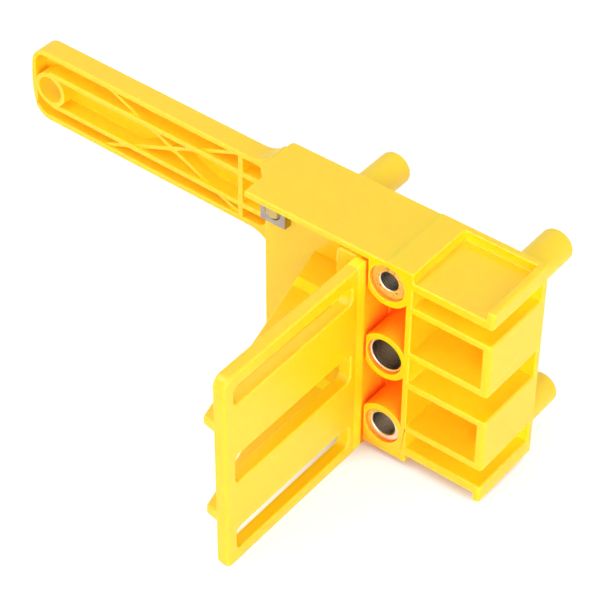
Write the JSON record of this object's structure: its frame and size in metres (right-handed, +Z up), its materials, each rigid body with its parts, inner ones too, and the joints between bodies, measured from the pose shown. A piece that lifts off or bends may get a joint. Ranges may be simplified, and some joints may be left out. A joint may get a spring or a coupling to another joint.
{
  "type": "doweling jig",
  "caption": "Handheld doweling jig: a moulded block with hard drill bushes, a sliding slotted fence, centring pins and a swinging handle.",
  "frame": {"origin": "on the axis of the middle drill bush, at the working face that meets the workpiece", "axes": "+Y out of the working face along the drilling axis, +Z up, +X along the block away from the handle"},
  "size_m": [0.1867, 0.1053, 0.0746],
  "materials": {
    "yellow_plastic": "smooth moulded",
    "bush_steel": "turned, hardened",
    "zinc_steel": "bright zinc plated",
    "yellow_zinc": "yellow zinc or brass"
  },
  "bodies": {
    "jig": {"bush_housing": "yellow_plastic", "comb": "yellow_plastic", "bracket": "yellow_plastic", "bush_6mm": "bush_steel", "bush_10mm": "bush_steel", "bush_8mm": "bush_steel", "pin_top_left": "yellow_plastic", "pin_top_right": "yellow_plastic", "pin_bottom_left": "yellow_plastic", "pin_bottom_right": "yellow_plastic", "pivot_bolt": "yellow_zinc", "pivot_washer": "zinc_steel", "square_nut": "zinc_steel"},
    "handle": {"handle": "yellow_plastic"},
    "fence": {"fence": "yellow_plastic", "insert_upper": "yellow_zinc", "insert_lower": "yellow_zinc", "fence_screw_upper": "zinc_steel", "fence_screw_lower": "zinc_steel", "fence_washer_upper": "zinc_steel", "fence_washer_lower": "zinc_steel"}
  },
  "joints": [
    {"name": "handle_pivot", "type": "hinge", "parent": "jig", "child": "handle", "pos_m": [-0.0469, -0.00395, 0.0236], "axis": [0, -1, 0], "range_deg": [0, 60]},
    {"name": "fence_slide", "type": "slide", "parent": "jig", "child": "fence", "axis": [-1, 0, 0], "range_m": [0, 0.01]}
  ]
}
